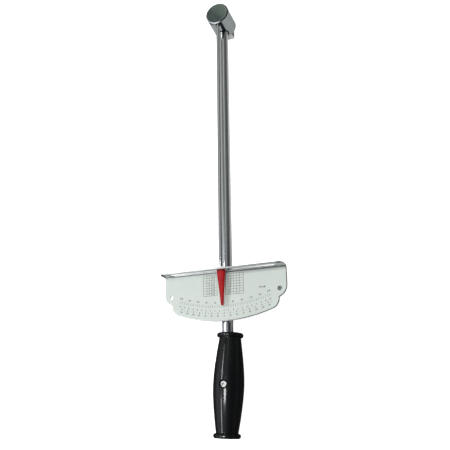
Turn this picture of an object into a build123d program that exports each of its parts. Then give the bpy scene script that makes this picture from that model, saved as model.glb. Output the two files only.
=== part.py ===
from build123d import *
from math import acos, atan2, cos, degrees, radians, sin, sqrt, tan
import os

# Beam torque wrench with a half inch square drive.
# The round bar bends under load and carries a scale plate, while a rod fixed in the head alone stays
# straight and points at the scale. The grip rocks on a pivot, so the pull always acts at one place.
# Millimetres. The origin is on the drive axis at the head's drive-side face, +X points along the bar
# to the grip, and +Z points out of the scale towards the reader.

# Driving dimensions: places along the bar, each taken from what carries it
pivot_x = 409.5
beam_past_pivot = 35.5
flange_to_pivot = 106.3
saddle_from_flange = 26.8
tip_from_flange = -3.5

# Driving dimensions: drive head
drum_diameter = 27.0
drum_height = 29.0
drum_chamfer = 0.9
square_width = 12.7
square_length = 14.0
square_corner = 1.1
square_end_chamfer = 0.8

# Driving dimensions: detent ball in the square's handle-facing flat
detent_ball_radius = 2.4
detent_lip_radius = 2.25
detent_lip_length = 0.5
detent_hole_radius = 2.46
detent_floor_x = -3.5
detent_depth_share = 0.68
detent_play = 0.03
spring_wire_radius = 0.25
spring_coil_radius = 1.6
spring_turns = 6

# Driving dimensions: bar
beam_diameter = 10.9
beam_axis_z = 7.7
beam_root_x = -9.0
beam_end_chamfer = 0.8
beam_bore_clearance = 0.05
beam_end_gap = 0.3

# Driving dimensions: pin that locks the bar in the head
lock_pin_x = 9.9
lock_pin_radius = 1.5
lock_pin_bore_radius = 0.8
lock_pin_slit = 0.5
lock_pin_length = 14.2
lock_pin_recess = 0.4

# Driving dimensions: pointer
rod_diameter = 4.0
rod_axis_z = 25.0
rod_root_x = 1.0
rod_spigot_radius = 1.4
rod_spigot_length = 7.0
tip_length = 37.1
tip_width = 9.3
tip_height = 5.6
tip_end_width = 2.6
tip_end_height = 2.2
tip_droop = 2.7
tip_end_fillet = 0.5

# Driving dimensions: scale plate
plate_width = 127.0
plate_thickness = 1.2
plate_top_z = 17.2
plate_depth = 47.9
plate_arc_radius = 143.6
flange_top_z = 32.5
flange_corner_radius = 5.0
bend_radius = 0.5
shoulder_radius = 12.5
shoulder_from_flange = 17.3
lobe_radius = 9.7
lobe_inset = 17.9
neck_radius = 1.6
slot_end_margin = 8.2
slot_height = 7.8
slot_z = 24.5
plate_hole_radius = 1.75
plate_hole_from_flange = 20.8
plate_hole_edge = 7.4

# Driving dimensions: printed sheet on the plate
face_thickness = 0.2
face_margin = 0.7
face_hole_margin = 0.5

# Driving dimensions: saddle and strap that clamp the plate to the bar
saddle_length = 28.0
saddle_crown_width = 15.0
wing_width = 34.0
wing_thickness = 2.5
strap_thickness = 1.6
clamp_gap = 0.6
clamp_clearance = 0.05
wing_corner_radius = 2.5

# Driving dimensions: clamp fasteners, M4
screw_radius = 2.0
screw_hole_radius = 2.25
screw_spacing_x = 16.0
screw_spacing_y = 25.4
screw_head_radius = 3.7
screw_head_height = 2.5
screw_head_edge = 0.6
screw_slot_width = 1.0
screw_slot_depth = 1.1
screw_end_over = 0.9
washer_thickness = 1.0
washer_outer_radius = 3.5
washer_split = 0.7
nut_flats = 7.0
nut_height = 3.2
nut_chamfer = 0.4
nut_to_crown = 0.25

# Driving dimensions: grip
grip_tilt = -3.0
grip_swing = 3.5
grip_near_length = 47.9
grip_far_length = 47.4
bead_radius = 12.8
bead_width = 4.2
bead_fillet = 1.7
neck_end_radius = 10.4
neck_fillet = 0.7
belly_radius = 14.75
belly_offset = 0.5
near_flank = (-24.5, 13.0)
far_flank = (21.5, 13.4)
cavity_clearance = 0.35

# Driving dimensions: pivot
flat_thickness = 7.8
flat_length = 14.0
sleeve_radius = 3.0
sleeve_bore_radius = 2.05
rivet_radius = 2.0
rivet_head_radius = 3.4
rivet_head_height = 1.7
rivet_head_dome = 0.7
rivet_dimple_radius = 1.2
rivet_dimple_depth = 1.4
rivet_tail_radius = 3.1
rivet_tail_height = 1.1
dial_recess_radius = 4.4
dial_recess_floor = 12.3
drive_recess_radius = 5.4
drive_recess_floor = 11.6
backing_washer_radius = 4.6
backing_washer_thickness = 1.0
spacer_radius = 4.7
spacer_thickness = 1.7
spacer_gap = 0.1
spacer_pocket_clearance = 0.3

# Driving dimensions: radial clearances of what is fixed, what is screwed or riveted, and what turns
fixed_fit = 0.02
thread_fit = 0.05
running_fit = 0.06

# Length by which a cutting shape runs past the face it starts from
overrun = 2.0

# How close a rim's radius must be to the one looked for
rim_tolerance = 0.05

# Degrees of a quarter turn
quarter_turn = 90

# Values worked out from the driving dimensions
beam_end_x = pivot_x + beam_past_pivot
flange_face_x = pivot_x - flange_to_pivot
tip_start_x = flange_face_x + tip_from_flange
tip_end_x = tip_start_x + tip_length
shoulder_x = flange_face_x + shoulder_from_flange
plate_hole_x = flange_face_x + plate_hole_from_flange
plate_bottom_x = flange_face_x + plate_depth
saddle_middle_x = flange_face_x + saddle_from_flange
drum_radius = drum_diameter / 2
square_half = square_width / 2
beam_radius = beam_diameter / 2
rod_radius = rod_diameter / 2
plate_half_width = plate_width / 2
plate_hole_y = plate_half_width - plate_hole_edge
lobe_y = plate_half_width - lobe_inset
slot_length = plate_width - 2 * slot_end_margin
plate_under_z = plate_top_z - plate_thickness
flat_start_x = flange_face_x + bend_radius
detent_z = -square_length * detent_depth_share
grip_angle = radians(grip_tilt)

# Planes of the grip, whose own X runs along its axis through the pivot
grip_axis = Vector(cos(grip_angle), sin(grip_angle), 0)
grip_across = Vector(-sin(grip_angle), cos(grip_angle), 0)
pivot_point = Vector(pivot_x, 0, beam_axis_z)
grip_side_plane = Plane(origin=pivot_point, x_dir=grip_axis, z_dir=-grip_across)
grip_flat_plane = Plane(origin=pivot_point, x_dir=grip_axis, z_dir=(0, 0, 1))


def bar_section(distance):
    """Plane across the bar, its own X along +Y and its own Y along +Z, at a distance along X."""
    return Plane(origin=(distance, 0, beam_axis_z), x_dir=(0, 1, 0), z_dir=(1, 0, 0))


def grip_section(distance):
    """Plane across the grip at a distance from the pivot along the grip's axis."""
    return Plane(origin=pivot_point + grip_axis * distance, x_dir=grip_across, z_dir=grip_axis)


def circles_meet(first, first_radius, second, second_radius):
    """The meeting point of two circles that lies on the left going from the second to the first."""
    across = (second[0] - first[0], second[1] - first[1])
    apart = sqrt(across[0] ** 2 + across[1] ** 2)
    reach = acos((apart**2 + first_radius**2 - second_radius**2) / (2 * apart * first_radius))
    bearing = atan2(across[1], across[0]) + reach
    return (first[0] + first_radius * cos(bearing), first[1] + first_radius * sin(bearing))


def bearing_of(centre, point):
    """Angle in degrees from a centre to a point."""
    return degrees(atan2(point[1] - centre[1], point[0] - centre[0]))


def plate_outline(margin):
    """The plate's flat outline, drawn in by a margin."""
    shoulder = (shoulder_x, plate_half_width - shoulder_radius)
    arc_centre = (plate_bottom_x - plate_arc_radius, 0)
    lobe_x = arc_centre[0] + sqrt((plate_arc_radius - lobe_radius) ** 2 - lobe_y**2)
    lobe = (lobe_x, lobe_y)
    inner_shoulder = shoulder_radius - margin
    inner_lobe = lobe_radius - margin
    neck = circles_meet(shoulder, inner_shoulder, lobe, inner_lobe)
    neck_on_shoulder = bearing_of(shoulder, neck)
    neck_on_lobe = bearing_of(lobe, neck)
    lobe_end = bearing_of(arc_centre, lobe)
    with BuildSketch() as outline:
        with BuildLine():
            Polyline(
                (plate_bottom_x - margin, 0),
                (flat_start_x, 0),
                (flat_start_x, plate_half_width - margin),
                (shoulder_x, plate_half_width - margin),
            )
            CenterArc(shoulder, inner_shoulder, quarter_turn, neck_on_shoulder - quarter_turn)
            CenterArc(lobe, inner_lobe, neck_on_lobe, lobe_end - neck_on_lobe)
            CenterArc(arc_centre, plate_arc_radius - margin, lobe_end, -lobe_end)
        make_face()
        fillet(outline.vertices().sort_by_distance(Vector(*neck))[0], neck_radius)
        mirror(about=Plane.XZ)
    return outline.sketch


os.makedirs("parts", exist_ok=True)

# Drive head: a drum with the drive square under it, bored for the bar, the pointer, the pin and the ball
with BuildPart() as drive_head:
    with BuildSketch():
        Circle(drum_radius)
    extrude(amount=drum_height)
    chamfer(drive_head.edges().filter_by(GeomType.CIRCLE), length=drum_chamfer)
    with BuildSketch() as square:
        Rectangle(square_width, square_width)
        fillet(square.vertices(), square_corner)
    extrude(amount=-square_length)
    chamfer(drive_head.faces().sort_by(Axis.Z)[0].edges(), length=square_end_chamfer)
    with BuildSketch(bar_section(beam_root_x - beam_end_gap)):
        Circle(beam_radius + beam_bore_clearance)
    extrude(amount=drum_diameter, mode=Mode.SUBTRACT)
    with BuildSketch(bar_section(rod_root_x)):
        with Locations((0, rod_axis_z - beam_axis_z)):
            Circle(rod_radius + fixed_fit)
    extrude(amount=drum_diameter, mode=Mode.SUBTRACT)
    with BuildSketch(Plane.XY):
        with Locations((lock_pin_x, 0)):
            Circle(lock_pin_radius + fixed_fit)
    extrude(amount=lock_pin_recess + lock_pin_length, mode=Mode.SUBTRACT)
    with BuildSketch(bar_section(detent_floor_x)):
        with Locations((0, detent_z - beam_axis_z)):
            Circle(detent_hole_radius)
    extrude(amount=square_half - detent_lip_length - detent_floor_x, mode=Mode.SUBTRACT)
    with BuildSketch(bar_section(detent_floor_x)):
        with Locations((0, detent_z - beam_axis_z)):
            Circle(detent_lip_radius)
    extrude(amount=drum_radius, mode=Mode.SUBTRACT)

drive_head.part.label = "drive_head"
export_step(drive_head.part, "parts/drive_head.step")

# Detent ball: held in its hole by the rolled-in lip, a little of it standing out of the flat
detent_x = (
    square_half
    - detent_lip_length
    - sqrt(detent_ball_radius**2 - detent_lip_radius**2)
    - detent_play
)
with BuildPart(Plane(origin=(detent_x, 0, detent_z))) as detent_ball:
    Sphere(detent_ball_radius)

detent_ball.part.label = "detent_ball"
export_step(detent_ball.part, "parts/detent_ball.step")

# Detent spring: a coil from the floor of the hole to the back of the ball
coil_to_ball = sqrt((detent_ball_radius + spring_wire_radius + detent_play) ** 2 - spring_coil_radius**2)
coil_start_x = detent_floor_x + spring_wire_radius
coil_length = detent_x - coil_to_ball - coil_start_x
with BuildPart() as detent_spring:
    with BuildLine() as coil:
        Helix(
            pitch=coil_length / spring_turns,
            height=coil_length,
            radius=spring_coil_radius,
            center=(coil_start_x, 0, detent_z),
            direction=(1, 0, 0),
        )
    with BuildSketch(Plane(origin=coil.line @ 0, z_dir=coil.line % 0)):
        Circle(spring_wire_radius)
    sweep(path=coil.line, is_frenet=True)

detent_spring.part.label = "detent_spring"
export_step(detent_spring.part, "parts/detent_spring.step")

# Lock pin: a rolled spring pin, slit along its length, driven in beside the square
with BuildPart() as beam_lock_pin:
    with BuildSketch(Plane.XY.offset(lock_pin_recess)):
        with Locations((lock_pin_x, 0)):
            Circle(lock_pin_radius)
            Circle(lock_pin_bore_radius, mode=Mode.SUBTRACT)
        with Locations((lock_pin_x - lock_pin_radius, 0)):
            Rectangle(2 * lock_pin_radius, lock_pin_slit, mode=Mode.SUBTRACT)
    extrude(amount=lock_pin_length)

beam_lock_pin.part.label = "beam_lock_pin"
export_step(beam_lock_pin.part, "parts/beam_lock_pin.step")

# Bar: round from the head into the grip, drilled for the lock pin and flattened and drilled for the pivot
with BuildPart() as flex_beam:
    with BuildSketch(bar_section(beam_root_x)):
        Circle(beam_radius)
    extrude(amount=beam_end_x - beam_root_x)
    chamfer(flex_beam.edges().filter_by(GeomType.CIRCLE), length=beam_end_chamfer)
    for side in (1, -1):
        flat_plane = Plane(origin=(pivot_x, 0, beam_axis_z + side * flat_thickness / 2), z_dir=(0, 0, side))
        with BuildSketch(flat_plane):
            Rectangle(flat_length, beam_diameter)
        extrude(amount=beam_radius, mode=Mode.SUBTRACT)
    with BuildSketch(Plane.XY.offset(beam_axis_z)):
        with Locations((lock_pin_x, 0)):
            Circle(lock_pin_radius + running_fit)
        with Locations((pivot_x, 0)):
            Circle(sleeve_radius + running_fit)
    extrude(amount=beam_diameter, both=True, mode=Mode.SUBTRACT)

flex_beam.part.label = "flex_beam"
export_step(flex_beam.part, "parts/flex_beam.step")

# Pointer rod: fixed in the head alone, with a turned-down spigot that carries the tip
with BuildPart() as pointer_rod:
    with BuildSketch(bar_section(rod_root_x)):
        with Locations((0, rod_axis_z - beam_axis_z)):
            Circle(rod_radius)
    extrude(amount=tip_start_x - rod_root_x)
    with BuildSketch(bar_section(tip_start_x)):
        with Locations((0, rod_axis_z - beam_axis_z)):
            Circle(rod_spigot_radius)
    extrude(amount=rod_spigot_length)

pointer_rod.part.label = "pointer_rod"
export_step(pointer_rod.part, "parts/pointer_rod.step")

# Pointer tip: a flattened taper that droops towards the scale
with BuildPart() as pointer_tip:
    with BuildSketch(bar_section(tip_start_x)):
        with Locations((0, rod_axis_z - beam_axis_z)):
            Ellipse(tip_width / 2, tip_height / 2)
    with BuildSketch(bar_section(tip_end_x)):
        with Locations((0, rod_axis_z - beam_axis_z - tip_droop)):
            Ellipse(tip_end_width / 2, tip_end_height / 2)
    loft()
    fillet(pointer_tip.faces().sort_by(Axis.X)[-1].edges(), tip_end_fillet)
    with BuildSketch(bar_section(tip_start_x)):
        with Locations((0, rod_axis_z - beam_axis_z)):
            Circle(rod_spigot_radius + fixed_fit)
    extrude(amount=rod_spigot_length + fixed_fit, mode=Mode.SUBTRACT)

pointer_tip.part.label = "pointer_tip"
export_step(pointer_tip.part, "parts/pointer_tip.step")

# Scale plate: a flat sheet with its head-side edge bent up into a slotted flange
bend_centre = (flange_face_x + bend_radius, plate_top_z + bend_radius)
plate_flat = plate_outline(0)
with BuildPart() as scale_plate:
    with BuildSketch(Plane.XZ):
        with BuildLine():
            outer_bend = CenterArc(
                bend_centre, bend_radius + plate_thickness, 2 * quarter_turn, quarter_turn
            )
            inner_bend = CenterArc(bend_centre, bend_radius, 2 * quarter_turn, quarter_turn)
            Line(outer_bend @ 1, inner_bend @ 1)
            Polyline(
                outer_bend @ 0,
                (flange_face_x - plate_thickness, flange_top_z),
                (flange_face_x, flange_top_z),
                inner_bend @ 0,
            )
        make_face()
    extrude(amount=plate_half_width, both=True)
    flange_corners = scale_plate.edges().filter_by(Axis.X).group_by(Axis.Z)[-1]
    fillet(flange_corners, flange_corner_radius)
    with BuildSketch(Plane.XY.offset(plate_under_z)):
        add(plate_flat)
    extrude(amount=plate_thickness)
    slot_plane = Plane(origin=(flange_face_x + overrun, 0, slot_z), x_dir=(0, 1, 0), z_dir=(1, 0, 0))
    with BuildSketch(slot_plane):
        SlotOverall(slot_length, slot_height)
    extrude(amount=-(plate_thickness + 2 * overrun), mode=Mode.SUBTRACT)
    with BuildSketch(Plane.XY.offset(plate_under_z)):
        with Locations((plate_hole_x, plate_hole_y), (plate_hole_x, -plate_hole_y)):
            Circle(plate_hole_radius)
    extrude(amount=plate_thickness, mode=Mode.SUBTRACT)

scale_plate.part.label = "scale_plate"
export_step(scale_plate.part, "parts/scale_plate.step")

# Scale face: the printed sheet stuck to the plate
face_flat = plate_outline(face_margin)
with BuildPart() as scale_face:
    with BuildSketch(Plane.XY.offset(plate_top_z)):
        add(face_flat)
        with Locations((plate_hole_x, plate_hole_y), (plate_hole_x, -plate_hole_y)):
            Circle(plate_hole_radius + face_hole_margin, mode=Mode.SUBTRACT)
    extrude(amount=face_thickness)

scale_face.part.label = "scale_face"
export_step(scale_face.part, "parts/scale_face.step")

# Saddle: sits on the bar with its crown against the plate's underside
wing_under_z = beam_axis_z + clamp_gap / 2
wing_top_z = wing_under_z + wing_thickness
strap_top_z = beam_axis_z - clamp_gap / 2
strap_under_z = strap_top_z - strap_thickness
clamp_bore_radius = beam_radius + clamp_clearance
saddle_start_x = saddle_middle_x - saddle_length / 2
crown_foot_y = (screw_spacing_y - nut_flats) / 2 - nut_to_crown
saddle_plane = Plane(origin=(saddle_start_x, 0, 0), x_dir=(0, 1, 0), z_dir=(1, 0, 0))
with BuildPart() as beam_saddle:
    with BuildSketch(saddle_plane):
        with BuildLine():
            Polyline(
                (-wing_width / 2, wing_under_z),
                (-wing_width / 2, wing_top_z),
                (-crown_foot_y, wing_top_z),
                (-saddle_crown_width / 2, plate_under_z),
                (saddle_crown_width / 2, plate_under_z),
                (crown_foot_y, wing_top_z),
                (wing_width / 2, wing_top_z),
                (wing_width / 2, wing_under_z),
                close=True,
            )
        make_face()
        with Locations((0, beam_axis_z)):
            Circle(clamp_bore_radius, mode=Mode.SUBTRACT)
    extrude(amount=saddle_length)
    wing_corners = beam_saddle.edges().filter_by(Axis.Z).filter_by_position(
        Axis.Z, wing_under_z, wing_top_z
    )
    fillet(wing_corners, wing_corner_radius)
    with BuildSketch(Plane.XY.offset(wing_under_z)):
        with Locations((saddle_middle_x, 0)):
            with GridLocations(screw_spacing_x, screw_spacing_y, 2, 2):
                Circle(screw_hole_radius)
    extrude(amount=wing_thickness, mode=Mode.SUBTRACT)

beam_saddle.part.label = "beam_saddle"
export_step(beam_saddle.part, "parts/beam_saddle.step")

# Clamp strap: bent round the underside of the bar, its wings a little short of the saddle's
with BuildPart() as clamp_strap:
    with BuildSketch(saddle_plane):
        with Locations((0, strap_top_z - strap_thickness / 2)):
            Rectangle(wing_width, strap_thickness)
        with Locations((0, beam_axis_z)):
            Circle(clamp_bore_radius + strap_thickness)
            Circle(clamp_bore_radius, mode=Mode.SUBTRACT)
        with Locations((0, strap_top_z + beam_diameter)):
            Rectangle(wing_width, 2 * beam_diameter, mode=Mode.SUBTRACT)
    extrude(amount=saddle_length)
    strap_corners = clamp_strap.edges().filter_by(Axis.Z).filter_by_position(
        Axis.Z, strap_under_z, strap_top_z
    )
    fillet(strap_corners, wing_corner_radius)
    with BuildSketch(Plane.XY.offset(strap_under_z)):
        with Locations((saddle_middle_x, 0)):
            with GridLocations(screw_spacing_x, screw_spacing_y, 2, 2):
                Circle(screw_hole_radius)
    extrude(amount=strap_thickness, mode=Mode.SUBTRACT)

clamp_strap.part.label = "clamp_strap"
export_step(clamp_strap.part, "parts/clamp_strap.step")

# Clamp screws: slotted pan heads under the strap
screw_seat_z = strap_under_z - washer_thickness
nut_top_z = wing_top_z + nut_height
with BuildPart() as clamp_screws:
    with BuildSketch(Plane.XY.offset(screw_seat_z)):
        with Locations((saddle_middle_x, 0)):
            with GridLocations(screw_spacing_x, screw_spacing_y, 2, 2):
                Circle(screw_head_radius)
    extrude(amount=-screw_head_height)
    chamfer(clamp_screws.edges().group_by(Axis.Z)[0], length=screw_head_edge)
    with BuildSketch(Plane.XY.offset(screw_seat_z)):
        with Locations((saddle_middle_x, 0)):
            with GridLocations(screw_spacing_x, screw_spacing_y, 2, 2):
                Circle(screw_radius)
    extrude(amount=nut_top_z + screw_end_over - screw_seat_z)
    with BuildSketch(Plane.XY.offset(screw_seat_z - screw_head_height)):
        with Locations((saddle_middle_x, 0)):
            with GridLocations(screw_spacing_x, screw_spacing_y, 2, 2):
                Rectangle(screw_slot_width, 2 * screw_head_radius)
    extrude(amount=screw_slot_depth, mode=Mode.SUBTRACT)

clamp_screws.part.label = "clamp_screws"
export_step(clamp_screws.part, "parts/clamp_screws.step")

# Clamp washers: split lock washers between the screw heads and the strap
with BuildPart() as clamp_washers:
    with BuildSketch(Plane.XY.offset(screw_seat_z)):
        with Locations((saddle_middle_x, 0)):
            with GridLocations(screw_spacing_x, screw_spacing_y, 2, 2):
                Circle(washer_outer_radius)
                Circle(screw_hole_radius, mode=Mode.SUBTRACT)
                with Locations((washer_outer_radius, 0)):
                    Rectangle(2 * (washer_outer_radius - screw_radius), washer_split, mode=Mode.SUBTRACT)
    extrude(amount=washer_thickness)

clamp_washers.part.label = "clamp_washers"
export_step(clamp_washers.part, "parts/clamp_washers.step")

# Clamp nuts: hexagon nuts on the saddle's wings, flats facing the crown
with BuildPart() as clamp_nuts:
    with BuildSketch(Plane.XY.offset(wing_top_z)):
        with Locations((saddle_middle_x, 0)):
            with GridLocations(screw_spacing_x, screw_spacing_y, 2, 2):
                RegularPolygon(nut_flats / 2, 6, major_radius=False)
                Circle(screw_radius + thread_fit, mode=Mode.SUBTRACT)
    extrude(amount=nut_height)
    hexagon_edges = clamp_nuts.edges().filter_by(GeomType.LINE).group_by(Axis.Z)[-1]
    chamfer(hexagon_edges, length=nut_chamfer)

clamp_nuts.part.label = "clamp_nuts"
export_step(clamp_nuts.part, "parts/clamp_nuts.step")

# Grip: a barrel with a bead at each end and an hourglass cavity that lets it rock on the bar
near_end = -grip_near_length
far_end = grip_far_length
with BuildPart() as grip:
    with BuildSketch(grip_side_plane):
        with BuildLine():
            barrel = Spline(
                (near_end + bead_width, neck_end_radius),
                near_flank,
                (belly_offset, belly_radius),
                far_flank,
                (far_end - bead_width, neck_end_radius),
            )
            Polyline(
                barrel @ 0,
                (near_end + bead_width, bead_radius),
                (near_end, bead_radius),
                (near_end, 0),
                (far_end, 0),
                (far_end, bead_radius),
                (far_end - bead_width, bead_radius),
                barrel @ 1,
            )
        make_face()
    revolve(axis=Axis(pivot_point, grip_axis))
    rims = grip.edges().filter_by(GeomType.CIRCLE)
    bead_rims = rims.filter_by(lambda rim: abs(rim.radius - bead_radius) < rim_tolerance)
    fillet(bead_rims, bead_fillet)
    rims = grip.edges().filter_by(GeomType.CIRCLE)
    neck_rims = rims.filter_by(lambda rim: abs(rim.radius - neck_end_radius) < rim_tolerance)
    fillet(neck_rims, neck_fillet)
    swing = radians(grip_swing)
    cavity_half_height = beam_radius + cavity_clearance
    cavity_waist = beam_radius / cos(swing) + cavity_clearance
    for end in (near_end, far_end):
        for distance in (0, end):
            with BuildSketch(grip_section(distance)):
                SlotOverall(2 * (cavity_waist + abs(distance) * tan(swing)), 2 * cavity_half_height)
        loft(mode=Mode.SUBTRACT)
    spacer_pocket_half = flat_thickness / 2 + spacer_thickness + spacer_gap
    with BuildSketch(grip_flat_plane):
        Circle(spacer_radius + spacer_pocket_clearance)
    extrude(amount=spacer_pocket_half, both=True, mode=Mode.SUBTRACT)
    with BuildSketch(grip_flat_plane):
        Circle(sleeve_radius + fixed_fit)
    extrude(amount=belly_radius + overrun, both=True, mode=Mode.SUBTRACT)
    with BuildSketch(grip_flat_plane.offset(dial_recess_floor)):
        Circle(dial_recess_radius)
    extrude(amount=belly_radius, mode=Mode.SUBTRACT)
    with BuildSketch(grip_flat_plane.offset(-drive_recess_floor)):
        Circle(drive_recess_radius)
    extrude(amount=-belly_radius, mode=Mode.SUBTRACT)

grip.part.label = "grip"
export_step(grip.part, "parts/grip.step")

# Pivot sleeve: a distance tube from one recess floor to the other, through the bar's cross hole
with BuildPart() as pivot_sleeve:
    with BuildSketch(grip_flat_plane.offset(-drive_recess_floor)):
        Circle(sleeve_radius)
        Circle(sleeve_bore_radius, mode=Mode.SUBTRACT)
    extrude(amount=drive_recess_floor + dial_recess_floor)

pivot_sleeve.part.label = "pivot_sleeve"
export_step(pivot_sleeve.part, "parts/pivot_sleeve.step")

# Pivot rivet: a dimpled head on the dial side and a closed tail over its washer on the drive side
tail_top = -(drive_recess_floor + backing_washer_thickness)
head_top = dial_recess_floor + rivet_head_height
with BuildPart() as pivot_rivet:
    with BuildSketch(grip_side_plane):
        with BuildLine():
            Polyline(
                (0, head_top - rivet_dimple_depth),
                (rivet_dimple_radius, head_top - rivet_dimple_depth),
                (rivet_dimple_radius, head_top),
                (rivet_head_radius - rivet_head_dome, head_top),
                (rivet_head_radius, head_top - rivet_head_dome),
                (rivet_head_radius, dial_recess_floor),
                (rivet_radius, dial_recess_floor),
                (rivet_radius, tail_top),
                (rivet_tail_radius, tail_top),
                (rivet_tail_radius - rivet_tail_height / 2, tail_top - rivet_tail_height),
                (0, tail_top - rivet_tail_height),
                close=True,
            )
        make_face()
    revolve(axis=Axis(pivot_point, (0, 0, 1)))

pivot_rivet.part.label = "pivot_rivet"
export_step(pivot_rivet.part, "parts/pivot_rivet.step")

# Rivet washer: spreads the closed tail over the recess floor
with BuildPart() as rivet_washer:
    with BuildSketch(grip_flat_plane.offset(tail_top)):
        Circle(backing_washer_radius)
        Circle(rivet_radius + thread_fit, mode=Mode.SUBTRACT)
    extrude(amount=backing_washer_thickness)

rivet_washer.part.label = "rivet_washer"
export_step(rivet_washer.part, "parts/rivet_washer.step")

# Spacer washers: on the sleeve, one on each flat of the bar
with BuildPart() as spacer_washer_dial_side:
    with BuildSketch(Plane.XY.offset(beam_axis_z + flat_thickness / 2)):
        with Locations((pivot_x, 0)):
            Circle(spacer_radius)
            Circle(sleeve_radius + running_fit, mode=Mode.SUBTRACT)
    extrude(amount=spacer_thickness)

spacer_washer_dial_side.part.label = "spacer_washer_dial_side"
export_step(spacer_washer_dial_side.part, "parts/spacer_washer_dial_side.step")

with BuildPart() as spacer_washer_drive_side:
    with BuildSketch(Plane.XY.offset(beam_axis_z - flat_thickness / 2)):
        with Locations((pivot_x, 0)):
            Circle(spacer_radius)
            Circle(sleeve_radius + running_fit, mode=Mode.SUBTRACT)
    extrude(amount=-spacer_thickness)

spacer_washer_drive_side.part.label = "spacer_washer_drive_side"
export_step(spacer_washer_drive_side.part, "parts/spacer_washer_drive_side.step")
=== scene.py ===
# %% [markdown]
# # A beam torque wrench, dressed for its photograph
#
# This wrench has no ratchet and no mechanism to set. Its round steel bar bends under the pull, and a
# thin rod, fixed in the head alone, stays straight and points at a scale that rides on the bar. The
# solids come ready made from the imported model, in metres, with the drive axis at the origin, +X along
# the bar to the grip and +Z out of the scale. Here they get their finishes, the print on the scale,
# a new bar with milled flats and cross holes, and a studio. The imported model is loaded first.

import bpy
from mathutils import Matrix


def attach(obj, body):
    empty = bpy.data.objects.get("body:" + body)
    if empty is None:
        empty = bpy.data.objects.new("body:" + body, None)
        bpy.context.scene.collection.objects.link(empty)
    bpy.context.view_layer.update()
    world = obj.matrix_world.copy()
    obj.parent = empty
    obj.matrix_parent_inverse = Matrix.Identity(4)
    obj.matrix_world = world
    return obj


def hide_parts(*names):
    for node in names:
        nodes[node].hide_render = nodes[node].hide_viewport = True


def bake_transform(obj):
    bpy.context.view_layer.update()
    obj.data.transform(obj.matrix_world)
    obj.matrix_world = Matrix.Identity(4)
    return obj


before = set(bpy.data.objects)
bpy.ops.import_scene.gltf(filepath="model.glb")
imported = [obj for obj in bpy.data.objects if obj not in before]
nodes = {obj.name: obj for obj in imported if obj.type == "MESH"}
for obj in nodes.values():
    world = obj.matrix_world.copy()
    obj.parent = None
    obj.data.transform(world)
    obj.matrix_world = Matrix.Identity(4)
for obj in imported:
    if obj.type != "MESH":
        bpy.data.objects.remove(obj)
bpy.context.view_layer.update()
print("packed nodes:", ", ".join(sorted(nodes)))

# %% Tools of the trade
from math import cos, pi, radians, sin

import bmesh
import bpy
from mathutils import Matrix, Vector

MM = 0.001
scene = bpy.context.scene
print("Blender", bpy.app.version_string)

# %% [markdown]
# ## The camera
#
# The photograph looks down on the wrench from beside the grip, from near enough that the head at the
# far end is drawn smaller. A camera could be aimed by eye, with a Track To constraint, but then each
# correction moves everything. Here its place and its three axes were worked out from points that can
# be named both in the photograph and in the model, such as the plate's corners and the two ends of
# the bar, so they are written down as numbers. The lens is in millimetres on a 36 mm sensor.

# %% Place the camera
camera_data = bpy.data.cameras.new("camera")
camera_data.sensor_width = 36.0
camera_data.lens = 45.09
camera_data.clip_start = 0.01
camera = bpy.data.objects.new("camera", camera_data)
scene.collection.objects.link(camera)
camera_right = Vector((0.013653, 0.937617, -0.347401))
camera_up = Vector((-0.943642, 0.126985, 0.305639))
camera_back = Vector((0.330687, 0.323649, 0.886508))
camera_place = Vector((0.442976, 0.187188, 0.524183))
camera_turn = Matrix((camera_right, camera_up, camera_back)).transposed().to_4x4()
camera.matrix_world = Matrix.Translation(camera_place) @ camera_turn
scene.camera = camera
scene.view_settings.view_transform = "Standard"
print("camera is", round(camera_place.length, 3), "m from the drive axis")

# %% [markdown]
# ## Writing shaders as sums
#
# A shader is a graph of nodes, and a graph drawn by hand is slow to read. So one small class, Wire,
# stands for one output socket, and Python's own operators on it add the Math nodes: `1 - mask` or
# `grain * 0.2 + 0.1` then read as what they do. Every other node comes from one method, node(),
# which takes the node's type, its settings, and the values or wires of its sockets.

# %% Wire and Finish
class Wire:
    """One output socket of a node. Arithmetic on it adds Math nodes."""

    def __init__(self, finish, socket):
        self.finish = finish
        self.socket = socket

    def math(self, operation, first, second=0.0):
        return self.finish.node("ShaderNodeMath", {"operation": operation}, {0: first, 1: second})

    def __add__(self, other):
        return self.math("ADD", self, other)

    def __sub__(self, other):
        return self.math("SUBTRACT", self, other)

    def __rsub__(self, other):
        return self.math("SUBTRACT", other, self)

    def __mul__(self, other):
        return self.math("MULTIPLY", self, other)

    def __truediv__(self, other):
        return self.math("DIVIDE", self, other)

    def __pow__(self, other):
        return self.math("POWER", self, other)

    __radd__ = __add__
    __rmul__ = __mul__

    def axis(self, number):
        """The X, Y or Z of a vector: 0, 1 or 2."""
        return self.finish.node("ShaderNodeSeparateXYZ", {}, {0: self}, number)

    def step(self, start, end):
        """0 below start, 1 above end, with a soft rise between."""
        return self.finish.node(
            "ShaderNodeMapRange",
            {"interpolation_type": "SMOOTHSTEP"},
            {"Value": self, "From Min": start, "From Max": end},
        )


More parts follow.
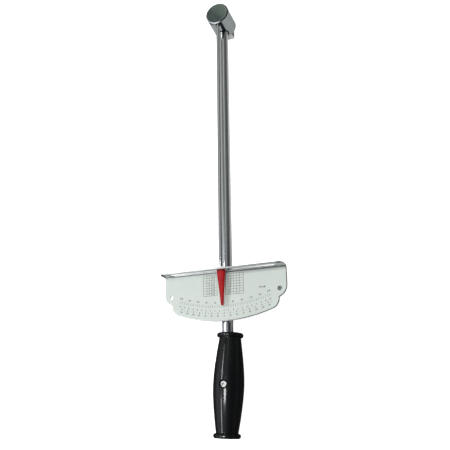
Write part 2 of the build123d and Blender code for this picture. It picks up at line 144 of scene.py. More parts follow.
class Finish:
    """A material or a world that is being written, one node at a time."""

    def __init__(self, owner):
        owner.use_nodes = True
        self.owner = owner
        self.tree = owner.node_tree
        self.tree.nodes.clear()

    def node(self, kind, settings=None, sockets=None, output=0):
        made = self.tree.nodes.new(kind)
        for name, value in (settings or {}).items():
            if name == "stops":
                self.set_stops(made.color_ramp, value)
            else:
                setattr(made, name, value)
        for name, value in (sockets or {}).items():
            if isinstance(value, Wire):
                self.tree.links.new(value.socket, made.inputs[name])
            else:
                made.inputs[name].default_value = value
        return Wire(self, made.outputs[output]) if len(made.outputs) else made

    def set_stops(self, ramp, stops):
        while len(ramp.elements) > 1:
            ramp.elements.remove(ramp.elements[-1])
        for count, (position, colour) in enumerate(stops):
            element = ramp.elements[0] if count == 0 else ramp.elements.new(position)
            element.position = position
            element.color = (*colour, 1.0)


print("Wire and Finish are ready")

# %% [markdown]
# ## Patterns that finishes share
#
# Every node's object sits at the origin, so its Object coordinate is the place on the wrench in
# metres. A noise that is squeezed along one axis turns into fine lines along that axis, which is how
# drawn bars, ground faces and brushed sheet look close up. Image textures would need a file and an
# unwrapped mesh, while these patterns sit in space and go round every edge.

# %% Helpers for patterns
def place_on(finish):
    """Where a point lies on the wrench, in metres."""
    return finish.node("ShaderNodeTexCoord", {}, {}, "Object")


def grain(finish, size_mm, detail=3.0, roughness=0.5):
    """Noise whose features have a size in millimetres along each axis."""
    squeeze = tuple(1 / (size * MM) for size in size_mm)
    where = finish.node("ShaderNodeMapping", {}, {"Vector": place_on(finish), "Scale": squeeze})
    return finish.node(
        "ShaderNodeTexNoise",
        {},
        {"Vector": where, "Scale": 1.0, "Detail": detail, "Roughness": roughness},
    )


def tint(finish, amount, first, second):
    """A colour between two, by an amount from 0 to 1."""
    return finish.node(
        "ShaderNodeMix",
        {"data_type": "RGBA"},
        {0: amount, 6: (*first, 1.0) if isinstance(first, tuple) else first, 7: (*second, 1.0)},
        2,
    )


def relief(finish, height, depth_mm, strength=1.0):
    """A Bump node, its height in millimetres."""
    sockets = {"Height": height, "Distance": depth_mm * MM, "Strength": strength}
    return finish.node("ShaderNodeBump", {}, sockets)


def surface(finish, sockets):
    """Closes a material with a Principled BSDF."""
    shader = finish.node("ShaderNodeBsdfPrincipled", {}, sockets)
    finish.node("ShaderNodeOutputMaterial", {}, {"Surface": shader})
    return finish.owner


def new_finish(name):
    return Finish(bpy.data.materials.new(name))


def between(wire, low_mm, high_mm, soft_mm=0.6):
    """1 between two places, falling softly to 0 outside them."""
    rise = wire.step((low_mm - soft_mm) * MM, low_mm * MM)
    return rise * (1 - wire.step(high_mm * MM, (high_mm + soft_mm) * MM))


print("pattern helpers are ready")

# %% [markdown]
# ## The studio
#
# Polished steel has no look of its own: its stripes are the room. In the photograph they are the same
# along most of the bar, so the room can be written as a brightness that depends on the angle round
# the bar, from -180 degrees at the bottom over -90 at the left and 0 above to 90 at the right. Near
# the grip a bright left wall fades over the ceiling into a dark right one. Towards the head the bright
# stripe stands overhead, between two dark ones. So there are two such ramps, and the direction along
# the bar mixes them. A real softbox would need a place and a size for each stripe, and a ramp reads
# like the bar itself, left to right. What is matt takes less than half of this light, so that the
# shadows stay deep. Behind the object the world is plain white.

# %% The room, as two ramps round the bar
NEAR_ROOM = (
    (-120, 0.32),
    (-100, 0.34),
    (-84, 0.46),
    (-72, 0.90),
    (-60, 1.10),
    (-42, 0.86),
    (-18, 0.62),
    (0, 0.54),
    (14, 0.24),
    (24, 0.15),
    (40, 0.05),
    (58, 0.04),
    (72, 0.06),
    (88, 0.20),
    (120, 0.40),
)
FAR_ROOM = (
    (-120, 0.26),
    (-100, 0.26),
    (-80, 0.34),
    (-62, 0.56),
    (-48, 0.54),
    (-35, 0.13),
    (-24, 0.15),
    (-12, 0.50),
    (6, 1.05),
    (16, 0.32),
    (40, 0.19),
    (58, 0.09),
    (74, 0.12),
    (90, 0.24),
    (120, 0.50),
)
world = bpy.data.worlds.new("studio")
scene.world = world
room = Finish(world)
sight = room.node("ShaderNodeTexCoord", {}, {}, "Generated")
round_the_bar = sight.math("ARCTAN2", sight.axis(1), sight.axis(2)) / (2 * pi) + 0.5


def room_ramp(levels, hue):
    stops = [(angle / 360 + 0.5, [level * part for part in hue]) for angle, level in levels]
    return room.node("ShaderNodeValToRGB", {"stops": stops}, {0: round_the_bar})


far_room = room_ramp(FAR_ROOM, (0.95, 1.02, 0.98))
near_room = room_ramp(NEAR_ROOM, (0.95, 0.99, 1.12))
towards_grip = sight.axis(0).step(-0.42, -0.16)
room_colour = room.node(
    "ShaderNodeMix",
    {"data_type": "RGBA"},
    {0: towards_grip, 6: far_room, 7: near_room},
    2,
)
MATT_LOSS = 0.6
matt_ray = room.node("ShaderNodeLightPath", {}, {}, "Is Diffuse Ray")
walls = room.node("ShaderNodeBackground", {}, {"Color": room_colour, "Strength": 1 - matt_ray * MATT_LOSS})
backdrop = room.node("ShaderNodeBackground", {}, {"Color": (1, 1, 1, 1), "Strength": 1.0})
seen = room.node("ShaderNodeLightPath", {}, {}, "Is Camera Ray")
shown = room.node("ShaderNodeMixShader", {}, {0: seen, 1: walls, 2: backdrop})
room.node("ShaderNodeOutputWorld", {}, {"Surface": shown})
print("room stops:", len(NEAR_ROOM) + len(FAR_ROOM))

# %% [markdown]
# The wrench lies on the end of its drive square and on the belly of its grip, so the table under it
# is tilted by one degree against the bar. Its height and slope come from those two places. A gap of a
# hair keeps the square's end and the table out of one plane, where they would flicker.

# %% The table
TABLE_TOUCH = (5.55 * MM, -14.0 * MM)
TABLE_SLOPE = 6.95 / 400.6
TABLE_GAP = 0.05 * MM
TABLE_HALF = 4.0


def table_height(distance):
    """The table's Z at a distance along the bar."""
    return TABLE_TOUCH[1] + TABLE_SLOPE * (distance - TABLE_TOUCH[0]) - TABLE_GAP


table_mesh = bpy.data.meshes.new("table")
table_corners = [
    (x * TABLE_HALF, y * TABLE_HALF, table_height(x * TABLE_HALF))
    for x, y in ((-1, -1), (1, -1), (1, 1), (-1, 1))
]
table_mesh.from_pydata(table_corners, [], [(0, 1, 2, 3)])
table = bpy.data.objects.new("table", table_mesh)
scene.collection.objects.link(table)
print("table height under the drive:", round(table_height(0) / MM, 2), "mm")

# %% [markdown]
# The paper's white comes from a glow that only the camera sees, so it lights nothing. Under the plate
# that glow fades by as much as the plate covers the paper, which the Ambient Occlusion node measures.
# Through the slot and the right hole the camera looks at paper in the plate's shade, and through the
# left hole past the plate's edge, so one of the holes is dark and the other bright. What lies on a
# table also mirrors it, from below. So mirrors see the paper in greys, as the photograph's lower edges
# show them: brightest round the head and under the drive, bright to the right of the bar, and dark to
# its left and beside the grip. From below the table is clear, so that the underside can be looked at.

# %% The table's paper
PAPER_GLOW = 0.95
paper = new_finish("table_paper")
paper_fibre = grain(paper, (3, 3, 3), 4.0)
paper_along = place_on(paper).axis(0)
paper_side = place_on(paper).axis(1)
from_head = (paper_along ** 2.0 + paper_side ** 2.0) ** 0.5
by_the_head = 1 - from_head.step(0.05, 0.11)
under_drive = 1 - from_head.step(0.014, 0.024)
beside_grip = paper_along.step(0.335, 0.360)
right_side = paper_side.step(-0.015, 0.02) * (1 - beside_grip)
near_right = right_side * (1 - paper_side.step(0.045, 0.075))
# Painted reflections on the paper: greys that only mirrors see, set by place, and a glow for mirrors that
# lights nothing.
mirror_level = right_side * 0.16 + near_right * 0.24 + 0.20 - beside_grip * 0.10 + by_the_head * 0.44
mirror_glow = near_right * (0.42 - paper_along.step(0.19, 0.30) * 0.30) * (1 - by_the_head)
mirror_glow = mirror_glow + under_drive * 0.35
print("greys of the paper written")

# %% Shade under the plate
SHADE_REACH = 0.06
covered = 1 - paper.node("ShaderNodeAmbientOcclusion", {"samples": 16}, {"Distance": SHADE_REACH}, 1)
behind_slot = between(paper_along, 292.0, 296.0, 1.0) * between(paper_side, -78, 53, 3.0)
under_plate = between(paper_along, 298.0, 322.5, 1.0) * between(paper_side, -56, 53, 3.0)
left_more = 2.4 - paper_side.step(-0.035, 0.0) * 1.4
plate_shade = (covered * (behind_slot * left_more + under_plate)).step(0.05, 0.55)
print("shade reaches", SHADE_REACH / MM, "mm")

# %% Close the paper
BLACK = (0.0, 0.0, 0.0)
camera_ray = paper.node("ShaderNodeLightPath", {}, {}, "Is Camera Ray")
mirror_ray = paper.node("ShaderNodeLightPath", {}, {}, "Is Glossy Ray")
paper_white = tint(paper, paper_fibre, (0.80, 0.80, 0.80), (0.84, 0.84, 0.84))
paper_colour = tint(paper, mirror_ray * (1 - mirror_level), paper_white, BLACK)
paper_matte = paper.node("ShaderNodeBsdfDiffuse", {}, {"Color": paper_colour})
glow_level = camera_ray * (1 - plate_shade) * PAPER_GLOW + mirror_ray * mirror_glow
glow = paper.node("ShaderNodeEmission", {}, {"Color": tint(paper, glow_level, BLACK, (1.0, 1.0, 1.0))})
paper_top = paper.node("ShaderNodeAddShader", {}, {0: paper_matte, 1: glow})
from_below = paper.node("ShaderNodeNewGeometry", {}, {}, "Backfacing")
see_through = paper.node("ShaderNodeBsdfTransparent")
paper_shader = paper.node("ShaderNodeMixShader", {}, {0: from_below, 1: paper_top, 2: see_through})
paper.node("ShaderNodeOutputMaterial", {}, {"Surface": paper_shader})
table_mesh.materials.append(paper.owner)
print("paper laid on the table")

# %% [markdown]
# Five lamps do what the room's ramps can't. Two thin softboxes to the left, end to end with a gap
# between them, draw the bright line down the grip that breaks at its belly. A square one nearly
# overhead puts the short bright mark beside the rivet. These three light gloss alone. The key light,
# a long narrow box further to the left, throws the pointer's soft shadow to the right, and a large
# fill from the right and above lifts the dial to the level of the photograph. These two light what
# is matt alone, so that no mirror shows them. A sun would throw a shadow as well, but an area lamp
# has a size, and that size is what softens the shadow.

# %% The lamps
def softbox(name, place, aim, width, length, brightness, lights):
    """An area lamp whose long side lies along the bar, for gloss or for what is matt."""
    data = bpy.data.lights.new(name, "AREA")
    data.shape = "RECTANGLE"
    data.size = length
    data.size_y = width
    data.energy = brightness * pi * width * length
    lamp = bpy.data.objects.new(name, data)
    lamp.visible_diffuse = lights == "matt"
    lamp.visible_glossy = lights == "gloss"
    scene.collection.objects.link(lamp)
    back = (Vector(place) - Vector(aim)).normalized()
    across = back.cross(Vector((1, 0, 0))).normalized()
    along = across.cross(back)
    lamp.matrix_world = Matrix.Translation(place) @ Matrix((along, across, back)).transposed().to_4x4()


softbox("far_strip", (0.20, -0.53, 0.80), (0.20, 0, 0), 0.075, 0.34, 20.0, "gloss")
softbox("near_strip", (0.63, -0.53, 0.80), (0.63, 0, 0), 0.075, 0.26, 20.0, "gloss")
softbox("key_glint", (0.50, -0.17, 1.50), (0.40, 0, 0), 0.30, 0.30, 34.0, "gloss")
softbox("key_softbox", (0.40, -0.75, 1.10), (0.35, 0, 0), 0.12, 0.50, 25.0, "matt")
softbox("fill_softbox", (0.45, 0.33, 1.50), (0.38, 0, 0), 0.60, 0.60, 11.2, "matt")

# %% [markdown]
# ## The bar
#
# The bar is the spring of this wrench, so it has to bend when the grip is pulled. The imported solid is
# stiff, and stands in the simulation. The flats and the two cross holes are cut with Boolean
# modifiers, as a fitter would mill and drill them.

# %% Values of the bar
BAR_RADIUS = 5.45 * MM
BAR_AXIS = 7.7 * MM
BAR_START = -9.0 * MM
BAR_END = 445.0 * MM
BAR_CHAMFER = 0.8 * MM
BAR_SIDES = 64
RING_SPACING = 4.0 * MM
PIVOT_X = 409.5 * MM


def ring(points, radius, distance, sides):
    """Adds a ring of points across the bar."""
    for count in range(sides):
        turn = 2 * pi * count / sides
        points.append((distance, radius * sin(turn), BAR_AXIS + radius * cos(turn)))


def new_mesh(name, points, faces):
    mesh = bpy.data.meshes.new(name)
    mesh.from_pydata(points, [], faces)
    made = bpy.data.objects.new(name, mesh)
    scene.collection.objects.link(made)
    return made


def tube(name, sections, sides):
    """A closed round bar from (distance, radius) sections."""
    points, faces = [], []
    for distance, radius in sections:
        ring(points, radius, distance, sides)
    for row in range(len(sections) - 1):
        for count in range(sides):
            after = (count + 1) % sides
            low, high = row * sides, (row + 1) * sides
            faces.append((low + count, low + after, high + after, high + count))
    faces.append(tuple(range(sides - 1, -1, -1)))
    faces.append(tuple(len(points) - sides + count for count in range(sides)))
    return new_mesh(name, points, faces)


ring_count = round((BAR_END - BAR_START - 2 * BAR_CHAMFER) / RING_SPACING)
ring_step = (BAR_END - BAR_START - 2 * BAR_CHAMFER) / ring_count
bar_sections = [(BAR_START, BAR_RADIUS - BAR_CHAMFER)]
bar_sections += [(BAR_START + BAR_CHAMFER + ring_step * n, BAR_RADIUS) for n in range(ring_count + 1)]
bar_sections += [(BAR_END, BAR_RADIUS - BAR_CHAMFER)]
bar = tube("bending_bar", bar_sections, BAR_SIDES)
print("bar rings:", len(bar_sections))

# %% A cutter for flats and a drill
def cutting_box(low, high):
    """A box between two corners."""
    points = [(x, y, z) for x in (low[0], high[0]) for y in (low[1], high[1]) for z in (low[2], high[2])]
    faces = [(0, 1, 3, 2), (4, 6, 7, 5), (0, 4, 5, 1), (2, 3, 7, 6), (0, 2, 6, 4), (1, 5, 7, 3)]
    return new_mesh("cutter", points, faces)


DRILL_SIDES = 48
DRILL_REACH = (-20 * MM, 40 * MM)


def cutting_drill(distance, radius):
    """A round drill across the bar, parallel to Z."""
    points, faces = [], []
    for height in DRILL_REACH:
        for count in range(DRILL_SIDES):
            turn = 2 * pi * count / DRILL_SIDES
            points.append((distance + radius * cos(turn), radius * sin(turn), height))
    for count in range(DRILL_SIDES):
        after = (count + 1) % DRILL_SIDES
        faces.append((count, after, DRILL_SIDES + after, DRILL_SIDES + count))
    faces.append(tuple(range(DRILL_SIDES - 1, -1, -1)))
    faces.append(tuple(range(DRILL_SIDES, 2 * DRILL_SIDES)))
    return new_mesh("cutter", points, faces)


print("drill sides:", DRILL_SIDES)

# %% Mill the flats and drill the cross holes
FLAT_HALF = 7.0 * MM
FLAT_OFFSET = 3.9 * MM
CUTTER_SIZE = 9 * MM
LOCK_PIN_X = 9.9 * MM
LOCK_BORE = 1.56 * MM
PIVOT_BORE = 3.06 * MM
SHARP_EDGE = radians(32)
cutters = []
for side in (1, -1):
    flat = BAR_AXIS + side * FLAT_OFFSET
    low = (PIVOT_X - FLAT_HALF, -CUTTER_SIZE, flat - (side < 0) * CUTTER_SIZE)
    high = (PIVOT_X + FLAT_HALF, CUTTER_SIZE, flat + (side > 0) * CUTTER_SIZE)
    cutters.append(cutting_box(low, high))
cutters += [cutting_drill(LOCK_PIN_X, LOCK_BORE), cutting_drill(PIVOT_X, PIVOT_BORE)]
for cutter in cutters:
    cut = bar.modifiers.new("cut", "BOOLEAN")
    cut.operation = "DIFFERENCE"
    cut.solver = "EXACT"
    cut.object = cutter
bpy.context.view_layer.update()
cut_bar = bpy.data.meshes.new_from_object(bar.evaluated_get(bpy.context.evaluated_depsgraph_get()))
bar.modifiers.clear()
bar.data = cut_bar
for cutter in cutters:
    bpy.data.objects.remove(cutter)
bar.data.shade_smooth()
bar.data.set_sharp_from_angle(angle=SHARP_EDGE)
print("bar faces:", len(bar.data.polygons))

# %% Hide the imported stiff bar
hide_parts("flex_beam")
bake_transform(bar)

# %% [markdown]
# ## The steels
#
# These steels show: the polished bar and rod, the bright ball and sleeve, the dull rivet, and plain
# plated clamp parts. They differ in colour, in how much they blur the room and in the lines that the
# tool left. One function writes them all, from those three facts, and each gets wear of its own:
# faint patches where hands and cloths have rubbed it duller or brighter.

# %% A steel
def steel(name, dark, light, rough, line_mm, line_depth, patch_mm=14.0, pitted=0.3):
    """A metal between two colours and two roughnesses, with tool lines, rubbed patches and pits."""
    finish = new_finish(name)
    patches = grain(finish, (patch_mm, patch_mm, patch_mm), 4.0, 0.6)
    lines = grain(finish, line_mm, 2.0, 0.6)
    pits = grain(finish, (0.5, 0.5, 0.5), 2.0)
    rubbed = patches.step(0.35, 0.68)
    roughness = rubbed * (rough[1] - rough[0]) + rough[0] + (lines - 0.5) * 0.06
    normal = relief(finish, lines + pits * pitted, line_depth)
    return surface(
        finish,
        {
            "Base Color": tint(finish, patches * 0.6 + lines * 0.4, dark, light),
            "Metallic": 1.0,
            "Roughness": roughness,
            "Normal": normal,
        },
    )


polished_bar = steel(
    "polished_bar", (0.60, 0.60, 0.60), (0.68, 0.68, 0.67), (0.045, 0.09), (90, 0.5, 0.5), 0.0012, 30.0, 0.05
)
bright_steel = steel("bright_steel", (0.62, 0.62, 0.61), (0.74, 0.74, 0.73), (0.14, 0.26), (0.4, 3, 3), 0.003)
spring_steel = steel("spring_steel", (0.16, 0.16, 0.17), (0.26, 0.25, 0.24), (0.28, 0.42), (2, 0.3, 2), 0.004)
zinc_plate = steel("zinc_plate", (0.50, 0.51, 0.53), (0.62, 0.63, 0.62), (0.26, 0.42), (5, 5, 5), 0.004, 4.0)
rivet_steel = steel(
    "rivet_steel", (0.19, 0.19, 0.185), (0.32, 0.32, 0.31), (0.26, 0.40), (1.5, 1.5, 1.5), 0.006, 3.0
)
bar.data.materials.clear()
bar.data.materials.append(polished_bar)
print("steels written: 5")

# %% [markdown]
# The head is turned on a lathe: fine rings round the drive axis on its top, and coarser ones round
# its side. Rings are a wave over the distance from the axis, so X and Y are first turned into that
# distance. Its top is dull and dark, with painted shade darkest towards the grip and the left, and a
# painted highlight on a ring near its rim, on the right. The rim is lighter, partly from wear and
# partly as a painted highlight, and painted shade darkens its right side. Painted light makes the side
# palest on the left, and painted shade darkens it under the rim, round the bar and the rod where they
# go in, and on the square's right flank, and a painted reflection lays a dark streak beside the bores.
# The drive square is lighter, partly as bright steel and partly as painted light.

# %% The head's turned steel
head = new_finish("head_steel")
head_place = place_on(head)
from_axis = (head_place.axis(0) ** 2.0 + head_place.axis(1) ** 2.0) ** 0.5
head_height = head_place.axis(2)
sideways = head_place.axis(1)
head_patches = grain(head, (9, 9, 9), 4.0, 0.6)
head_pits = grain(head, (0.4, 0.4, 0.4), 2.0)
FACE_FEED = 0.45 * MM
SIDE_FEED = 0.6 * MM
face_rings = from_axis.math("SINE", from_axis * (2 * pi / FACE_FEED) + head_patches * 1.4)
side_rings = from_axis.math("SINE", head_height * (2 * pi / SIDE_FEED) + head_patches * 1.1)
on_face = head_height.step(28.6 * MM, 28.9 * MM)
rings = face_rings * on_face + side_rings * (1 - on_face)
# The rim: lighter, partly wear and partly painted highlight; dark_rim is painted shade on its right side.
rim = from_axis.step(12.3 * MM, 12.55 * MM) * head_height.step(27.8 * MM, 28.1 * MM)
dark_rim = rim * sideways.step(1 * MM, 5 * MM)
print("rings and rim written")

# %% Painted shade on the head
BAR_HEIGHT_MM = 7.7
ROD_HEIGHT_MM = 25.0
grip_side = head_place.axis(0).step(2 * MM, 5 * MM)


def round_a_bore(height_mm, inner_mm, outer_mm):
    """1 at the rim of a bore that runs along X, 0 further out."""
    up = head_height - height_mm * MM
    away = (sideways ** 2.0 + up ** 2.0) ** 0.5
    return (1 - away.step(inner_mm * MM, outer_mm * MM)) * grip_side


# Painted shade under the rim on the left and round the bores of the bar and the rod, and a painted
# reflection: a dark streak beside the bores on the right.
shade_under_rim = between(head_height, 25.0, 27.8, 0.3) * (1 - sideways.step(-8 * MM, -3.5 * MM))
reflected_dark_streak = between(sideways, 2.4, 4.8, 0.9) * between(head_height, 12.5, 27.6) * grip_side
shade_round_bores = round_a_bore(BAR_HEIGHT_MM, 5.8, 7.6) + round_a_bore(ROD_HEIGHT_MM, 2.3, 3.6)
shade_by_bores_and_rim = (shade_round_bores + reflected_dark_streak + shade_under_rim).step(0.1, 0.9)
print("shade by the bores written")

# %% The head's colours
square_part = 1 - head_height.step(-0.6 * MM, 0.1 * MM)
head_side = tint(head, head_patches, (0.39, 0.435, 0.425), (0.47, 0.52, 0.505))
# Painted light: the side is lighter on the left, where the light falls.
head_side_lit = tint(head, 1 - sideways.step(-7 * MM, 0 * MM), head_side, (0.66, 0.70, 0.69))
# Painted shade on the head's top: darker towards the grip and the left, lighter and greener away from them,
# mixed with random clouds.
across_face = (sideways - head_place.axis(0)).step(-8 * MM, 14 * MM)
face_clouds = grain(head, (5, 3, 3), 3.0, 0.6)
top_shade_and_clouds = across_face * 0.8 + (face_clouds - 0.5) * 0.9 + 0.1
top_shade_and_tone = tint(head, top_shade_and_clouds, (0.13, 0.165, 0.16), (0.28, 0.34, 0.28))
# A painted highlight on a ring near the rim, on its right.
step_glint = between(from_axis, 11.2, 11.8, 0.2) * sideways.step(-4 * MM, 6 * MM)
head_faces = head.node("ShaderNodeMix", {"data_type": "RGBA"}, {0: on_face, 6: head_side_lit, 7: top_shade_and_tone}, 2)
# Lighter: the rim, partly wear and partly painted highlight; the square, partly bright steel and partly
# painted light; and the painted highlight on the ring.
head_bright = rim + square_part * 0.8 + step_glint * on_face * 0.55
head_wear_and_glints = tint(head, head_bright.step(0.0, 1.2), head_faces, (0.60, 0.61, 0.60))
# Painted shade on the square's right flank, under the drum.
square_flank_shade = square_part * sideways.step(6.1 * MM, 6.3 * MM)
# Painted shade, near black: the rim's right side, round and beside the bores, under the rim, and the square's
# right flank.
head_shade = dark_rim * 0.9 + shade_by_bores_and_rim * (1 - on_face) * 0.95 + square_flank_shade * 0.9
head_colour = tint(head, head_shade, head_wear_and_glints, (0.012, 0.012, 0.014))
head_steel = surface(
    head,
    {
        "Base Color": head_colour,
        "Metallic": 1.0,
        "Roughness": head_patches * 0.16 + 0.24 + rim * 0.16 + on_face * 0.06,
        "Normal": relief(head, rings * 0.5 + head_pits, 0.004),
    },
)
print("head steel written")

# %% [markdown]
# The plate is sheet metal, brushed along its long side. Painted shade darkens its bare rim, beside the
# printed sheet, most on the right, and so it darkens the flange's top edge, the lower edge of its slot
# and the bend. A dark mark sits near the top of the flange, at its right end.

# %% The plate's sheet metal
plate = new_finish("plate_metal")
plate_place = place_on(plate)
plate_patches = grain(plate, (8, 8, 8), 4.0, 0.6)
plate_brush = grain(plate, (2.0, 30, 2.0), 2.0, 0.6)
plate_side = plate_place.axis(1)
plate_height = plate_place.axis(2)
plate_facing = plate.node("ShaderNodeNewGeometry", {}, {}, "Normal").axis(2)
shows_above = plate_facing.step(-0.6, -0.3)
# Painted shade on the plate's bare rim, strongest on the right.
rim_shade = (1 - plate_height.step(17.25 * MM, 17.35 * MM)) * shows_above
rim_shade = rim_shade * (plate_side.step(-30 * MM, 30 * MM) * 0.55 + 0.35)
# Painted shade on the flange's top edge, stronger on the right.
flange_top_shade = plate_height.step(32.2 * MM, 32.4 * MM) * (plate_side.step(-10 * MM, 50 * MM) * 0.6 + 0.1)
# A dark mark near the top of the flange, at its right end.
dark_corner_mark = plate_height.step(30.3 * MM, 31.0 * MM) * between(plate_side, 57.8, 61.6, 0.7) * 0.95
towards_right = plate_side.step(-30 * MM, 20 * MM)
# Painted shade on the slot's lower edge, stronger on the right.
slot_edge_shade = between(plate_height, 20.6, 30.5, 0.2) * plate_facing.step(0.5, 0.8)
slot_edge_shade = slot_edge_shade * (towards_right * 0.4 + 0.15)
# Painted shade in the bend, stronger on the right.
bend_shade = between(plate_height, 17.4, 20.4, 0.2) * (towards_right * 0.20 + 0.25)
plate_dark = rim_shade + flange_top_shade + dark_corner_mark + slot_edge_shade + bend_shade
plate_sheet = tint(plate, plate_patches * 0.6 + plate_brush * 0.4, (0.48, 0.50, 0.49), (0.60, 0.62, 0.60))
plate_metal = surface(
    plate,
    {
        "Base Color": tint(plate, plate_dark, plate_sheet, (0.05, 0.052, 0.055)),
        "Metallic": 1.0,
        "Roughness": plate_patches * 0.12 + 0.30,
        "Normal": relief(plate, plate_brush, 0.004),
    },
)
print("plate metal written")

# %% [markdown]
# ## The pointer's red
#
# The tip is dipped in red paint, in two reds where it has run thick and thin. Its root, behind the
# flange, has stayed pale, and painted shade darkens it where the paint begins, in the flange's slot.
# The gloss is low, or the room would wash the red out, and a slow ripple gives the look of dipped paint.

# %% Red paint
red = new_finish("red_paint")
red_flow = grain(red, (5, 2, 2), 3.0)
red_dust = grain(red, (0.35, 0.35, 0.35), 2.0)
red_dipped = tint(red, red_flow.step(0.3, 0.7), (0.37, 0.009, 0.011), (0.46, 0.016, 0.017))
painted = place_on(red).axis(0).step(301.7 * MM, 302.2 * MM)
# Painted shade on the tip where it passes through the flange's slot.
past_root_shade = place_on(red).axis(0).step(303.4 * MM, 304.4 * MM)
root_shade = painted * (1 - past_root_shade)
red_with_root_shade = tint(red, root_shade * 0.75, red_dipped, (0.06, 0.012, 0.015))
bare_root = 1 - painted
red_shade = tint(red, bare_root, red_with_root_shade, (0.90, 0.84, 0.84))
red_paint = surface(
    red,
    {
        "Base Color": red_shade,
        "Roughness": red_flow * 0.16 + 0.50,
        "Coat Weight": red_flow * 0.1 + 0.02,
        "Coat Roughness": 0.16,
        "Specular IOR Level": 0.10,
        "Normal": relief(red, red_flow + red_dust * 0.1, 0.03),
    },
)
print("red paint written")

# %% [markdown]
# ## The grip's black plastic
#
# The grip is moulded in hard black plastic. It is nearly black and shows only what it mirrors, so its
# look is its gloss: smooth, with a faint ripple from the mould along its length and fine dull
# scuffs where it has lain on benches. The spacers between grip and bar are of pale nylon.

# %% Black plastic
black = new_finish("black_grip")
mould = grain(black, (40, 5, 5), 2.0)
scuffs = grain(black, (6, 0.5, 0.5), 4.0, 0.7)
skin = grain(black, (0.6, 0.6, 0.6), 2.0)
black_shade = tint(black, scuffs.step(0.55, 0.8), (0.0050, 0.0054, 0.0056), (0.0090, 0.0095, 0.0102))
black_grip = surface(
    black,
    {
        "Base Color": black_shade,
        "Roughness": scuffs.step(0.45, 0.8) * 0.10 + 0.13,
        "Specular IOR Level": 0.3,
        "Normal": relief(black, mould + skin * 0.015, 0.08, 0.6),
    },
)
nylon = new_finish("spacer_nylon")
nylon_cloud = grain(nylon, (2, 2, 2), 3.0)
spacer_nylon = surface(
    nylon,
    {
        "Base Color": tint(nylon, nylon_cloud, (0.66, 0.64, 0.56), (0.76, 0.74, 0.67)),
        "Roughness": nylon_cloud * 0.2 + 0.4,
        "Normal": relief(nylon, nylon_cloud, 0.02),
    },
)
print("grip plastic and nylon written")

# %% [markdown]
# ## The printed sheet
#
# The dial is a sheet of pale grey-green lacquer over metal. It is semi-matt, with a hardly seen
# mottle, and is darker on the right and towards its edge nearest the grip. Painted shade darkens it along the
# bend.

# %% Dial lacquer
dial = new_finish("printed_face")
dial_mottle = grain(dial, (7, 7, 7), 4.0, 0.6)
dial_fleck = grain(dial, (0.5, 0.5, 0.5), 2.0)
dial_place = place_on(dial)
dial_edge = dial_place.axis(0).step(338 * MM, 351 * MM)
dial_right = dial_place.axis(1).step(5 * MM, 25 * MM)
# Painted shade along the bend, stronger on the right.
dial_bend_shade = (1 - dial_place.axis(0).step(303.7 * MM, 307.5 * MM)) * (dial_right * 0.45 + 0.12)
dial_shade = tint(dial, dial_mottle.step(0.3, 0.7), (0.645, 0.708, 0.645), (0.680, 0.738, 0.680))
# Darker towards the right and towards the edge nearest the grip, with flecks.
dial_darkening = dial_edge * 0.25 + dial_right * 0.5 + (dial_fleck - 0.5) * 0.1
dial_darkened = tint(dial, dial_darkening, dial_shade, (0.60, 0.66, 0.60))
dial_colour = tint(dial, dial_bend_shade, dial_darkened, (0.16, 0.17, 0.17))
printed_face = surface(
    dial,
    {
        "Base Color": dial_colour,
        "Roughness": dial_mottle * 0.15 + 0.34,
        "Normal": relief(dial, dial_fleck, 0.004),
    },
)
print("dial lacquer written")

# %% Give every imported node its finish
FINISHES = {
    "drive_head": head_steel,
    "detent_ball": bright_steel,
    "detent_spring": spring_steel,
    "beam_lock_pin": spring_steel,
    "pointer_rod": polished_bar,
    "pointer_tip": red_paint,
    "scale_plate": plate_metal,
    "scale_face": printed_face,
    "beam_saddle": zinc_plate,
    "clamp_strap": zinc_plate,
    "clamp_screws": zinc_plate,
    "clamp_washers": spring_steel,
    "clamp_nuts": zinc_plate,
    "grip": black_grip,
    "pivot_sleeve": bright_steel,
    "pivot_rivet": rivet_steel,
    "rivet_washer": rivet_steel,
    "spacer_washer_dial_side": spacer_nylon,
    "spacer_washer_drive_side": spacer_nylon,
    "flex_beam": polished_bar,
}
for name, node in nodes.items():
    for place in node.material_slots:
        place.material = FINISHES[name]
print("nodes finished:", len(FINISHES))

# %% [markdown]
# ## The print on the dial
#
# The dial carries three scales on arcs about one centre, and two small tables that turn one unit into
# another. Print could be a texture, but then it would need an image. Here each tick is a thin bar and
# each number a piece of mesh cut from Blender's own font, lying on the sheet, so it stays sharp at
# any size. The numbers are plain: newton metres, kilogram metres and foot pounds. Each scale has the
# angle of one unit as its own value, in degrees.

# %% Values of the print
FACE_TOP = 17.4 * MM
INK_THICKNESS = 0.02 * MM
ARC_CENTRE = 192.0 * MM
NEWTON_ANGLE = 0.0934
KILO_ANGLE = 0.910
POUND_ANGLE = 0.122
GLYPH_DEPTH = 0.04
ink_mesh = bmesh.new()
glyphs = {}


def glyph(text):
    """A piece of text as a mesh of unit height, made once and kept."""
    if text not in glyphs:
        curve = bpy.data.curves.new("glyph", "FONT")
        curve.body = text
        curve.align_x = "CENTER"
        curve.align_y = "CENTER"
        curve.resolution_u = 2
        curve.extrude = GLYPH_DEPTH / 2
        curve.offset = 0.02
        holder = bpy.data.objects.new("glyph", curve)
        glyphs[text] = bpy.data.meshes.new_from_object(holder)
        bpy.data.objects.remove(holder)
    return glyphs[text]


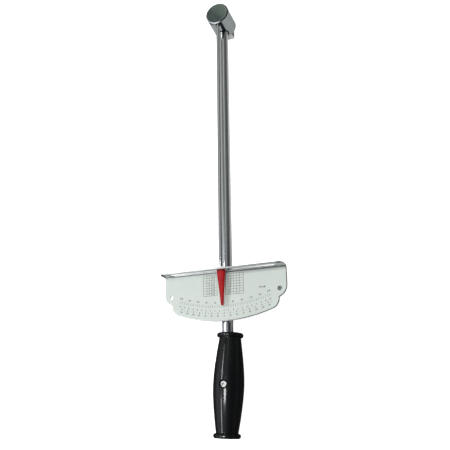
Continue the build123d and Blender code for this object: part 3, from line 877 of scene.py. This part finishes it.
def print_text(mesh, text, x, y, height, turn=0.0, stretch=1.0):
    """Lays a text on the dial, its foot towards the grip, turned by an angle."""
    squash = Matrix.Diagonal((height * stretch, height, INK_THICKNESS / GLYPH_DEPTH, 1))
    upright = Matrix.Rotation(pi / 2 + turn, 4, "Z")
    spot = Matrix.Translation((x, y, FACE_TOP + INK_THICKNESS / 2))
    piece = glyph(text).copy()
    piece.transform(spot @ upright @ squash)
    mesh.from_mesh(piece)
    bpy.data.meshes.remove(piece)


def print_bar(mesh, start, end, width):
    """A thin printed line between two points on the dial."""
    start, end = Vector(start), Vector(end)
    across = (end - start).orthogonal().normalized() * (width / 2)
    flat = (start + across, start - across, end - across, end + across)
    low = [mesh.verts.new((*point, FACE_TOP)) for point in flat]
    high = [mesh.verts.new((*point, FACE_TOP + INK_THICKNESS)) for point in flat]
    mesh.faces.new(high)
    mesh.faces.new(low[::-1])
    for count in range(4):
        after = (count + 1) % 4
        mesh.faces.new((low[count], low[after], high[after], high[count]))


def on_arc(radius_mm, angle):
    """The point of an arc at an angle in degrees from the middle of the dial."""
    turn = radians(angle)
    return (ARC_CENTRE + radius_mm * MM * cos(turn), radius_mm * MM * sin(turn))


print("print helpers are ready")

# %% Three scales
def ticks(mesh, radii, step, count, width_mm):
    """Ticks between two radii, a step in degrees apart, from zero to both sides."""
    for number in range(-count, count + 1):
        angle = number * step
        print_bar(mesh, on_arc(radii[0], angle), on_arc(radii[1], angle), width_mm * MM)
    return 2 * count + 1


def numbers(mesh, radius, values, angle_each, height_mm):
    """Numbers of one scale, on both sides of its zero."""
    for value in values:
        for side in (1, -1) if value else (1,):
            angle = side * value * angle_each
            x, y = on_arc(radius, angle)
            print_text(mesh, str(value), x, y, height_mm * MM, radians(angle))


tick_count = ticks(ink_mesh, (143.4, 146.2), 10 * NEWTON_ANGLE, 20, 0.26)
tick_count += ticks(ink_mesh, (150.8, 152.2), 20 * POUND_ANGLE, 7, 0.75)
tick_count += ticks(ink_mesh, (151.2, 152.2), 10 * POUND_ANGLE, 15, 0.26)
numbers(ink_mesh, 141.2, range(0, 201, 40), NEWTON_ANGLE, 2.2)
numbers(ink_mesh, 149.0, range(0, 21, 2), KILO_ANGLE, 1.9)
numbers(ink_mesh, 154.1, range(0, 141, 20), POUND_ANGLE, 2.0)
print("ticks printed:", tick_count)

# %% The small tables of units
GRID_TOP = 305.0 * MM
GRID_ROW = 2.58 * MM
GRID_ROWS = 8
GRID_STEP = 25
POUNDS_PER_NEWTON = 0.7376
LINE_WIDTH = 0.30 * MM
LEFT_LINES = (-21.6, -17.8, -15.0, -12.9, -9.7, -7.0)
RIGHT_LINES = (2.0, 6.9, 10.3, 13.0, 16.4, 20.3)
grid_foot = GRID_TOP + GRID_ROW * GRID_ROWS
for lines in (LEFT_LINES, RIGHT_LINES):
    for row in range(GRID_ROWS + 1):
        x = GRID_TOP + row * GRID_ROW
        print_bar(ink_mesh, (x, lines[0] * MM), (x, lines[-1] * MM), LINE_WIDTH)
    for line in lines:
        print_bar(ink_mesh, (GRID_TOP, line * MM), (grid_foot, line * MM), LINE_WIDTH)
for row in range(GRID_ROWS):
    x = GRID_TOP + (row + 0.5) * GRID_ROW
    newtons = GRID_STEP * (row + 1)
    print_text(ink_mesh, str(newtons), x, -11.3 * MM, 1.7 * MM, 0.0, 0.8)
    print_text(ink_mesh, str(round(newtons * POUNDS_PER_NEWTON)), x, 4.6 * MM, 2.0 * MM, 0.0, 0.9)
    print_text(ink_mesh, str(row + 1), x, -16.4 * MM, 1.1 * MM)
    print_text(ink_mesh, str(row + 1), x, 14.7 * MM, 1.1 * MM)
print("table rows:", GRID_ROWS)

# %% The unit beside the tables
UNIT_X = 321.2 * MM
print_text(ink_mesh, "N.m", UNIT_X, 38.0 * MM, 2.5 * MM)
print_bar(ink_mesh, (UNIT_X, 40.6 * MM), (UNIT_X, 42.0 * MM), 1.5 * MM)
print("unit printed")

# %% Ink, and the print as one piece
ink = new_finish("dial_ink")
ink_fade = grain(ink, (1.2, 1.2, 1.2), 3.0)
dial_ink = surface(
    ink,
    {
        "Base Color": tint(ink, ink_fade, (0.035, 0.042, 0.046), (0.13, 0.145, 0.145)),
        "Roughness": ink_fade * 0.2 + 0.45,
        "Normal": relief(ink, ink_fade, 0.004),
    },
)
print_data = bpy.data.meshes.new("dial_print")
ink_mesh.to_mesh(print_data)
ink_mesh.free()
print_data.materials.append(dial_ink)
dial_print = bpy.data.objects.new("dial_print", print_data)
scene.collection.objects.link(dial_print)
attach(dial_print, "arm")
print("print faces:", len(print_data.polygons))
